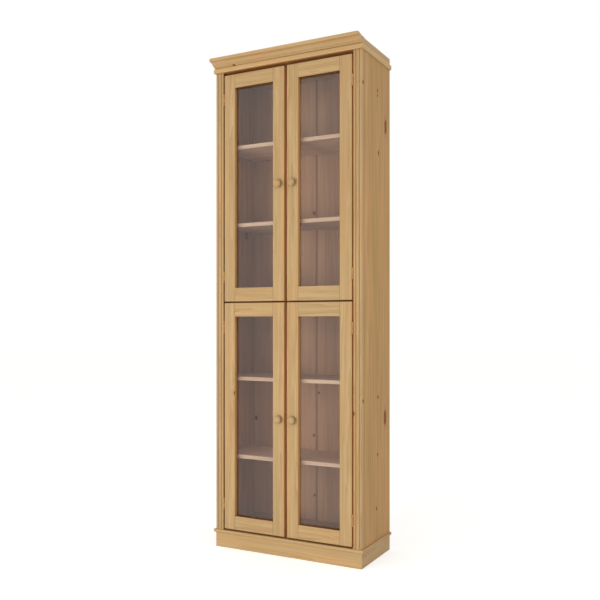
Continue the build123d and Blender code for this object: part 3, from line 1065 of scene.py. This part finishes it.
@dataclass
class BackNails:
    """Nails that hold the back sheets to the boards in front of them.

    Attributes:
        nails: The kind of nail.
        spacing: About how far apart they stand.
        inset: From a sheet's edge to the first nail.
        sheets: The sheets' nodes.
        rows: The boards that the sheets are nailed to.
    """

    nails: RoundNails = field(default_factory=lambda: RoundNails(0.0022, 0.0005))
    spacing: float = 0.105
    inset: float = 0.012
    sheets: tuple[str, ...] = ("back_panel_left", "back_panel_right")
    rows: tuple[str, ...] = ("bottom_panel", "middle_shelf", "top_panel")

    def build(self) -> Piece:
        """Builds every head as one piece.

        Returns:
            The piece.
        """
        shape = bmesh.new()
        for sheet in self.sheets:
            low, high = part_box(sheet)
            for board in self.rows:
                board_low, board_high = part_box(board)
                level = (board_low.z + board_high.z) / 2
                first = Vector((low.x + self.inset, high.y, level))
                last = Vector((high.x - self.inset, high.y, level))
                self.nails.row(shape, first, last, self.spacing)
        heads = piece_from(shape, "back_nails")
        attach(heads, "carcass")
        return heads


@dataclass
class BeadBrads:
    """Fine brads along the middle of the beads that hold each pane.

    Attributes:
        nails: The kind of brad.
        spacing: About how far apart they stand.
        inset: From the beads' outer edge to the brads.
        corner: From a corner to the first brad.
    """

    nails: RoundNails = field(default_factory=lambda: RoundNails(0.0008, 0.0003, 8))
    spacing: float = 0.12
    inset: float = 0.0035
    corner: float = 0.04

    def build(self) -> list[Piece]:
        """Builds the brads, one piece for each door.

        Returns:
            The pieces.
        """
        made = []
        for door in DOORS:
            low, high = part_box(f"{door}_glazing_beads")
            shape = bmesh.new()
            for x in (low.x + self.inset, high.x - self.inset):
                first = Vector((x, high.y, low.z + self.corner))
                last = Vector((x, high.y, high.z - self.corner))
                self.nails.row(shape, first, last, self.spacing)
            for z in (low.z + self.inset, high.z - self.inset):
                first = Vector((low.x + self.corner, high.y, z))
                last = Vector((high.x - self.corner, high.y, z))
                self.nails.row(shape, first, last, self.spacing)
            piece = piece_from(shape, f"{door}_bead_brads")
            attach(piece, door)
            made.append(piece)
        return made


@dataclass
class CatchDetail:
    """Screws of the strikes on the doors, and the pole plates of the magnets on the shelf.

    Attributes:
        screws: The kind of screw.
        screw_spread: From the middle of a strike to a screw.
        screw_turns: Angles of the slots of a strike's two screws.
        pole_length: Length of a pole plate.
        pole_height: Height of a pole plate.
        pole_gap: Height between the two plates of a magnet.
        pole_rise: How far a plate stands out of its case.
    """

    screws: SlottedScrews
    screw_spread: float = 0.0105
    screw_turns: Span = (0.4, 1.9)
    pole_length: float = 0.020
    pole_height: float = 0.0022
    pole_gap: float = 0.0036
    pole_rise: float = 0.0002

    def build(self) -> list[Piece]:
        """Builds the strikes' screws for each door and the magnets' plates.

        Returns:
            The pieces.
        """
        made = []
        plates = bmesh.new()
        case_low, case_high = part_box("door_catches")
        shelf_low, shelf_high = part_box("middle_shelf")
        for door in DOORS:
            stile_low, stile_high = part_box(f"{door}_meeting_stile")
            fittings_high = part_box(f"{door}_fittings")[1]
            across = (stile_low.x + stile_high.x) / 2
            if door.startswith("door_lower"):
                level = (case_low.z + shelf_low.z) / 2
            else:
                level = (shelf_high.z + case_high.z) / 2
            shape = bmesh.new()
            for step, turn in zip((-1, 1), self.screw_turns):
                place = Vector((across + step * self.screw_spread, fittings_high.y, level))
                self.screws.head(shape, place, Vector(BACK), turn)
            piece = piece_from(shape, f"{door}_strike_screws")
            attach(piece, door)
            made.append(piece)
            for step in (-1, 1):
                height = level + step * (self.pole_gap + self.pole_height) / 2
                middle = Matrix.Translation((across, case_low.y, height))
                size = (self.pole_length, 2 * self.pole_rise, self.pole_height, 1.0)
                plate = bmesh.ops.create_cube(
                    plates, size=1.0, matrix=middle @ Matrix.Diagonal(size)
                )
                edges = list({e for v in plate["verts"] for e in v.link_edges})
                bmesh.ops.bevel(
                    plates,
                    geom=edges,
                    offset=self.pole_rise / 2,
                    segments=1,
                    profile=0.5,
                    affect="EDGES",
                    material=-1,
                )
        piece = piece_from(plates, "catch_pole_plates")
        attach(piece, "carcass")
        made.append(piece)
        return made


@dataclass(frozen=True)
class Woods:
    """The pine of each kind of board.

    Attributes:
        front: Boards in plain sight.
        recess: Boards whose faces stand in the doors' gaps, with dark painted shade on those
            faces.
        ledge: The plinth's front, with its bead, with painted shade on its top under the doors.
        stile: The doors' stiles and glazing beads. The stiles take warm painted light on their
            side faces in the gaps, and a painted shade line at their ends.
        rail: The doors' rails, with painted shade on their top and bottom faces and a painted
            shade line along the doors' outer edges.
        knob: The knobs, with painted shade on the back of the ball toward the stile.
        side: The side panels.
        sheet: The back, in paler pine, lightened partly as painted light for the dim inside.
        shelf: The loose shelves, paler still, partly pale wood and partly painted light that
            brightens them inside the glass.
    """

    front: Pine = Pine()
    # Dark painted shade on faces deep in the doors' gaps.
    recess: Pine = Pine(edge=srgb(112, 66, 24))
    # Painted shade on the plinth's top, under the doors' gap.
    ledge: Pine = Pine(edge=srgb(182, 142, 92))
    # Warm painted light on the stiles' side faces in the gaps, and a dark painted shade line at
    # their ends.
    stile: Pine = Pine(edge=srgb(222, 164, 102), joint_and_gap_shade=srgb(132, 66, 14))
    # Dark painted shade on the rails' top and bottom faces, and a dark painted shade line along
    # the doors' outer edges.
    rail: Pine = Pine(edge=srgb(104, 56, 16), groove=srgb(132, 66, 14))
    # Dark painted shade on the back of the ball, toward the stile.
    knob: Pine = Pine(ring_width=0.0022, edge=srgb(98, 54, 20), painted_gap_turn=(-0.35, 0.35))
    side: Pine = Pine(
        early=srgb(198, 160, 104),
        middle=srgb(191, 151, 97),
        late=srgb(170, 124, 74),
        # A wide painted shade line beside the joint with the pilaster.
        groove=srgb(140, 100, 58),
        groove_shade_width=0.010,
        streak=0.1,
        flush_share=0.45,
        gloss=0.08,
    )
    # Paler pine, lightened partly as painted light for the dim inside of the cabinet.
    sheet: Pine = Pine(
        early=srgb(226, 190, 148),
        middle=srgb(214, 176, 134),
        late=srgb(184, 140, 98),
        ring_width=0.0055,
        streak=0.06,
    )
    # Paler still: partly pale wood, partly painted light that brightens the shelves inside the
    # glass.
    shelf: Pine = Pine(
        early=srgb(244, 222, 190), middle=srgb(239, 215, 181), late=srgb(216, 184, 146)
    )


@dataclass
class Carcass:
    """Boards of the standing cabinet, with the way each one's fibres run.

    Attributes:
        nodes: The frame's objects by name.
        woods: The pine of each kind of board.
        plank: Width of the planks in a glued board.
        reed_grooves: Way from the cabinet's middle to the grooves between the reeds.
        pilaster_back: Where a side panel meets its pilaster.
        whole: Boards of one piece.
        glued: Boards of glued planks.
        special: Boards that take another wood than the front's: the side panels' pine, and pine
            with other painted gap shade.
        tones: Painted light: how much lighter a board is made beside the others. It is used for
            the plinth, crown and cornice boards, which the lamps leave darker.
        painted_shade_faces: Directions of a board's faces that stand in a gap beside another one
            and take painted shade.
        knots: Knots by board.
    """

    nodes: Nodes
    woods: Woods
    plank: float = 0.118
    reed_grooves: tuple[float, ...] = (0.3307, 0.3467)
    pilaster_back: float = -0.111
    whole: dict[Grain, tuple[str, ...]] = field(
        default_factory=lambda: {
            Grain.ACROSS: (
                "plinth_front",
                "plinth_rear",
                "top_rail",
                "cornice_rail",
                "crown_front",
                "carcass_dowels",
            ),
            Grain.DEEP: ("plinth_left", "plinth_right", "cornice_beads", "crown_sides"),
            Grain.UPRIGHT: ("pilaster_left", "pilaster_right"),
        }
    )
    glued: dict[Grain, tuple[str, ...]] = field(
        default_factory=lambda: {
            Grain.ACROSS: ("bottom_panel", "middle_shelf", "top_panel"),
            Grain.UPRIGHT: ("side_panel_left", "side_panel_right"),
        }
    )
    special: dict[str, str] = field(
        default_factory=lambda: {
            "side_panel_left": "side",
            "side_panel_right": "side",
            "top_rail": "recess",
            "middle_shelf": "recess",
            "pilaster_left": "recess",
            "plinth_front": "ledge",
        }
    )
    # Painted light: the plinth, crown and cornice boards are lightened, standing in for more light
    # falling on them.
    tones: dict[str, float] = field(
        default_factory=lambda: {
            "plinth_front": 1.1,
            "crown_front": 1.11,
            "crown_sides": 1.04,
            "cornice_rail": 1.15,
            "cornice_beads": 1.12,
        }
    )
    # Painted shade on the faces of these boards that stand in the gaps round the doors and under
    # the cornice.
    painted_shade_faces: dict[str, tuple[Direction, ...]] = field(
        default_factory=lambda: {
            "pilaster_left": (RIGHT,),
            "cornice_rail": (DOWN,),
            "top_rail": (FRONT, DOWN),
            "middle_shelf": (FRONT,),
            "bottom_panel": (FRONT,),
            "plinth_front": (UP,),
        }
    )
    knots: Knots = field(
        default_factory=lambda: {
            "crown_front": (Knot((-0.257, -0.14, 2.166), 0.0035),),
            "side_panel_right": (
                Knot((0.358, 0.0400, 2.011), 0.005, 1.1),
                Knot((0.358, 0.0390, 1.990), 0.004, 1.1),
                Knot((0.358, 0.1321, 1.876), 0.009, 2.8),
                Knot((0.358, 0.0500, 1.745), 0.005, 1.6),
                Knot((0.358, 0.0442, 0.693), 0.005, 1.1),
                Knot((0.358, 0.1262, 0.595), 0.010, 2.6),
                Knot((0.358, 0.0390, 0.445), 0.0045, 1.2),
                Knot((0.358, 0.0272, 0.216), 0.005, 1.1),
            ),
            "pilaster_right": (
                Knot((0.358, -0.1195, 2.0044), 0.005, 1.1, 0),
                Knot((0.358, -0.1185, 0.690), 0.005, 1.1, 0),
                Knot((0.3224, -0.133, 0.6373), 0.003, 2.0),
            ),
            "side_panel_left": (
                Knot((-0.358, -0.05, 0.62), 0.008),
                Knot((-0.358, 0.10, 1.43), 0.010),
                Knot((-0.358, 0.02, 1.86), 0.006),
            ),
            "middle_shelf": (Knot((0.12, 0.02, 1.11), 0.008),),
            "bottom_panel": (Knot((-0.14, 0.05, 0.09), 0.008),),
        }
    )

    def shade_lines(self, name: str) -> tuple[float, ...]:
        """Lists where across a board a painted shade line is drawn: between the pilasters' reeds,
        and beside the side panels' joint with the pilaster.

        Args:
            name: The board's node.

        Returns:
            Their places across the grain.
        """
        if name.startswith("side_panel"):
            return (self.pilaster_back,)
        if name.startswith("pilaster"):
            side = -1.0 if name.endswith("left") else 1.0
            return tuple(side * place for place in self.reed_grooves)
        return ()

    def board(self, name: str, grain: Grain, plank: float) -> None:
        """Gives one board its wood.

        Args:
            name: The board's node.
            grain: The way its fibres run.
            plank: Width of its planks, or 0.
        """
        board = Board(
            name,
            grain,
            self.knots.get(name, ()),
            plank,
            edges=self.painted_shade_faces.get(name, ()),
            shade_lines=self.shade_lines(name),
            tone=self.tones.get(name, 1.0),
        )
        wood: Pine = getattr(self.woods, self.special.get(name, "front"))
        dress(self.nodes[name], wood.saw(board))
        log.info("%s: fibres %s, %d knots", name, grain.name.lower(), len(board.knots))

    def finish(self) -> None:
        """Gives every board its wood."""
        for boards, plank in ((self.whole, 0.0), (self.glued, self.plank)):
            for grain, names in boards.items():
                for name in names:
                    self.board(name, grain, plank)


@dataclass
class Inside:
    """The back sheets, their joint strip and the loose shelves.

    Attributes:
        nodes: The frame's objects by name.
        woods: The pine of each kind of board.
        strip: Finish of the joint strip.
        supports: Finish of the shelf supports.
        plank: Width of the planks in a shelf.
        shelves: The shelves' nodes.
        sheets: The back sheets' nodes, each with its knots.
    """

    nodes: Nodes
    woods: Woods
    strip: Material
    supports: Material
    plank: float = 0.105
    shelves: tuple[str, ...] = (
        "shelf_lower_bottom",
        "shelf_lower_top",
        "shelf_upper_bottom",
        "shelf_upper_top",
    )
    sheets: Knots = field(
        default_factory=lambda: {
            "back_panel_left": (
                Knot((-0.0122, 0.171, 1.525), 0.005),
                Knot((-0.0144, 0.171, 0.485), 0.0035),
                Knot((-0.0096, 0.171, 0.206), 0.0035),
                Knot((-0.3286, 0.171, 0.55), 0.005),
                Knot((-0.21, 0.171, 1.72), 0.006),
            ),
            "back_panel_right": (
                Knot((0.012, 0.171, 0.6856), 0.003),
                Knot((0.19, 0.171, 1.30), 0.009),
            ),
        }
    )

    def finish(self) -> None:
        """Gives the sheets, the strip, the shelves and their supports their finishes."""
        for name, knots in self.sheets.items():
            dress(self.nodes[name], self.woods.sheet.saw(Board(name, Grain.UPRIGHT, knots)))
        for name in self.shelves:
            shelf = Board(name, Grain.ACROSS, plank=self.plank)
            dress(self.nodes[name], self.woods.shelf.saw(shelf))
        dress(self.nodes["back_joint_strip"], self.strip)
        dress(self.nodes["shelf_pins"], self.supports)
        log.info("inside: %d shelves, %d back sheets", len(self.shelves), len(self.sheets))


@dataclass
class FramedDoor:
    """One glazed door: two stiles, two rails, the pane, its beads and its fittings.

    Attributes:
        name: The door.
        nodes: The frame's objects by name.
        woods: The pine of each kind of board.
        glass: Finish of the pane.
        metal: Finish of the hinge leaves and the strike.
        knots: Knots by board.
    """

    name: str
    nodes: Nodes
    woods: Woods
    glass: Material
    metal: Material
    knots: Knots = field(
        default_factory=lambda: {
            "door_lower_left_outer_stile": (Knot((-0.2577, -0.133, 0.698), 0.005),),
        }
    )

    def board(self, part: str, grain: Grain, wood: Pine, **marks: Sequence) -> None:
        """Gives one of the door's boards its wood.

        Args:
            part: The board's name within the door.
            grain: The way its fibres run.
            wood: Its wood.
            marks: Its joint lines and painted shade lines, and its faces that take painted gap
                shading.
        """
        node = f"{self.name}_{part}"
        board = Board(node, grain, self.knots.get(node, ()), **marks)
        dress(self.nodes[node], wood.saw(board))

    def finish(self) -> TurnedKnob:
        """Dresses the door's boards, pane and fittings.

        Returns:
            The knob that belongs on the door.
        """
        sides: list[float] = []
        for part in ("outer_stile", "meeting_stile"):
            low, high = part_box(f"{self.name}_{part}")
            sides += (low.x, high.x)
            # Each stile's ends take a painted shade line beside the doors' gaps.
            ends = (low.z, high.z)
            # The stiles' side faces in the gaps take warm painted light for the light bounced
            # there.
            self.board(part, Grain.UPRIGHT, self.woods.stile, joints=ends, edges=(RIGHT, LEFT))
        self.board("glazing_beads", Grain.UPRIGHT, self.woods.stile)
        shoulders = sorted(sides)[1:3]
        for part, corner in (("bottom_rail", 0), ("top_rail", 1)):
            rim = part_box(f"{self.name}_{part}")[corner].z
            # Joint lines at the shoulders, painted shade on the rails' top and bottom faces, and a
            # painted shade line along each door's outer top or bottom edge.
            marks = {"joints": shoulders, "edges": (UP, DOWN), "shade_lines": (rim,)}
            self.board(part, Grain.ACROSS, self.woods.rail, **marks)
        dress(self.nodes[f"{self.name}_glass"], self.glass)
        dress(self.nodes[f"{self.name}_fittings"], self.metal)
        log.info("%s: frame, pane, beads and fittings dressed", self.name)
        return TurnedKnob(self.name, f"{self.name}_knob")


@dataclass(frozen=True)
class SoftLamp:
    """A square lamp with a soft edge, which no mirror and no pane shows.

    Attributes:
        name: The lamp's name.
        place: Where it hangs.
        power: Its power in watts.
        size: Its side.
    """

    name: str
    place: tuple[float, float, float]
    power: float
    size: float

    def hang(self, aim: tuple[float, float, float]) -> None:
        """Hangs the lamp.

        Args:
            aim: The place that it lights.
        """
        light = bpy.data.lights.new(self.name, "AREA")
        light.energy = self.power
        light.shape = "SQUARE"
        light.size = self.size
        made = bpy.data.objects.new(self.name, light)
        made.location = self.place
        toward = Vector(aim) - Vector(self.place)
        made.rotation_euler = toward.to_track_quat("-Z", "Y").to_euler()
        made.visible_glossy = False
        made.visible_transmission = False
        bpy.context.scene.collection.objects.link(made)


@dataclass
class Studio:
    """White floor, white surroundings, soft light and the camera.

    Attributes:
        eye: Where the camera stands.
        heading: How far the camera turns to the left of straight ahead, in degrees.
        focal: Focal length in millimetres.
        sensor: Width of the sensor in millimetres.
        rise: Upward shift of the picture, as a share of its width.
        sight: How near and how far the camera sees.
        level: Brightness of the surroundings on the object.
        aim: The place that the lamps light.
        lamps: The lamps.
        floor_size: The floor's side.
        floor_lift: Light that the floor gives off of itself.
        floor_gleam: Its brightness as a pane mirrors it.
        floor_colour: Its colour.
        floor_tooth: Bumps of its paper to a metre.
        floor_bump: Strength and depth of the bumps.
    """

    eye: tuple[float, float, float] = (1.6005, -3.0366, 1.0194)
    heading: float = 27.77
    focal: float = 46.03
    sensor: float = 36.0
    rise: float = 0.0353
    sight: Span = (0.05, 200.0)
    level: float = 0.6
    aim: tuple[float, float, float] = (0.0, 0.0, 1.1)
    lamps: tuple[SoftLamp, ...] = (
        SoftLamp("key", (-2.3, -3.9, 1.4), 50.0, 2.2),
        SoftLamp("fill", (3.4, -1.6, 1.5), 26.0, 2.5),
        SoftLamp("low", (-0.6, -3.0, 0.3), 25.0, 1.2),
    )
    floor_size: float = 40.0
    floor_lift: float = 0.5
    floor_gleam: float = 0.96
    floor_colour: Colour = srgb(236, 236, 234)
    floor_tooth: float = 900.0
    floor_bump: Span = (0.05, 0.0002)

    def seen(self, mix: Recipe) -> Socket:
        """Tells what is seen from light that falls on the object.

        Args:
            mix: The recipe that asks.

        Returns:
            1 for what the camera, a gloss or a pane sees, and 0 for light.
        """
        path = mix.node("ShaderNodeLightPath").outputs
        either = mix.calc("MAXIMUM", path["Is Camera Ray"], path["Is Glossy Ray"])
        return mix.calc("MAXIMUM", either, path["Is Transmission Ray"])

    def surroundings(self) -> None:
        """Lights the world evenly and shows it as white."""
        world = bpy.data.worlds.new("white_room")
        bpy.context.scene.world = world
        mix = Recipe(world)
        levels = {"Value": self.seen(mix), "To Min": self.level, "To Max": 1.0}
        strength = mix.node("ShaderNodeMapRange", levels).outputs[0]
        shade = mix.node("ShaderNodeBackground", {"Color": WHITE, "Strength": strength})
        mix.node("ShaderNodeOutputWorld", {"Surface": shade.outputs[0]})

    def paper(self) -> Material:
        """Mixes the floor's white paper, which keeps the cabinet's shadow.

        Returns:
            The material.
        """
        mix = Recipe(bpy.data.materials.new("floor_paper"))
        tooth = mix.bump(mix.noise(mix.place(), self.floor_tooth), *self.floor_bump)
        matt = mix.node("ShaderNodeBsdfDiffuse", {"Color": self.floor_colour, "Normal": tooth})
        lift = mix.calc("MULTIPLY", self.seen(mix), self.floor_lift)
        glow = mix.node("ShaderNodeEmission", {"Color": WHITE, "Strength": lift})
        both = mix.node("ShaderNodeAddShader", {0: matt.outputs[0], 1: glow.outputs[0]})
        even = mix.node("ShaderNodeEmission", {"Color": WHITE, "Strength": self.floor_gleam})
        glossy = mix.node("ShaderNodeLightPath").outputs["Is Glossy Ray"]
        ends = {0: glossy, 1: both.outputs[0], 2: even.outputs[0]}
        return mix.finish(mix.node("ShaderNodeMixShader", ends).outputs[0])

    def floor(self) -> None:
        """Lays the floor."""
        shape = bmesh.new()
        bmesh.ops.create_grid(shape, x_segments=1, y_segments=1, size=self.floor_size / 2)
        ground = piece_from(shape, "floor")
        dress(ground, self.paper())

    def camera(self) -> None:
        """Sets the camera up, level, with its picture shifted upwards."""
        lens = bpy.data.cameras.new("eye")
        lens.lens = self.focal
        lens.sensor_width = self.sensor
        lens.shift_y = self.rise
        lens.clip_start, lens.clip_end = self.sight
        made = bpy.data.objects.new("eye", lens)
        made.location = self.eye
        made.rotation_euler = (math.radians(90.0), 0.0, math.radians(self.heading))
        bpy.context.scene.collection.objects.link(made)
        bpy.context.scene.camera = made

    def build(self) -> None:
        """Builds the whole studio."""
        bpy.context.scene.view_settings.view_transform = "Standard"
        self.surroundings()
        self.floor()
        for lamp in self.lamps:
            lamp.hang(self.aim)
        self.camera()


def report(pieces: Iterable[Piece]) -> None:
    """Logs each new piece with its face count."""
    for piece in pieces:
        log.info("%s: %d faces", piece.name, len(piece.data.polygons))


def main(nodes: Nodes) -> None:
    """Builds the studio, dresses the frame and adds the turned and metal pieces.

    Args:
        nodes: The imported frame's objects by name.
    """
    Studio().build()
    woods = Woods()
    glass = PaneGlass().make()
    strip = Moulded("joint_strip", srgb(176, 134, 96)).make()
    case = Moulded("catch_case", srgb(104, 74, 50)).make()
    brass = Brushed("aged_brass", srgb(218, 176, 116), srgb(186, 144, 90), 0.42).make()
    plated = Brushed("plated_steel", srgb(190, 190, 188), srgb(140, 138, 134), 0.28).make()
    steel = Brushed("nail_steel", srgb(150, 148, 144), srgb(104, 98, 90), 0.4).make()
    Carcass(nodes, woods).finish()
    Inside(nodes, woods, strip, plated).finish()
    doors = [FramedDoor(name, nodes, woods, glass, brass) for name in DOORS]
    knobs = [door.finish().place(woods.knob) for door in doors]
    hinge_screws = Hinges(SlottedScrews()).build()
    nails = [BackNails().build(), *BeadBrads().build(), *CatchDetail(SlottedScrews()).build()]
    for finish, pieces in (
        (brass, (nodes["hinge_frame_leaves"], nodes["hinge_pins"], *hinge_screws)),
        (case, (nodes["door_catches"],)),
        (steel, nails),
    ):
        for piece in pieces:
            dress(piece, finish)
    report([*knobs, *hinge_screws, *nails])


if __name__ == "__main__":
    logging.basicConfig(level=logging.INFO, format="%(name)s: %(message)s")
    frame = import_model()
    main(frame["nodes"])
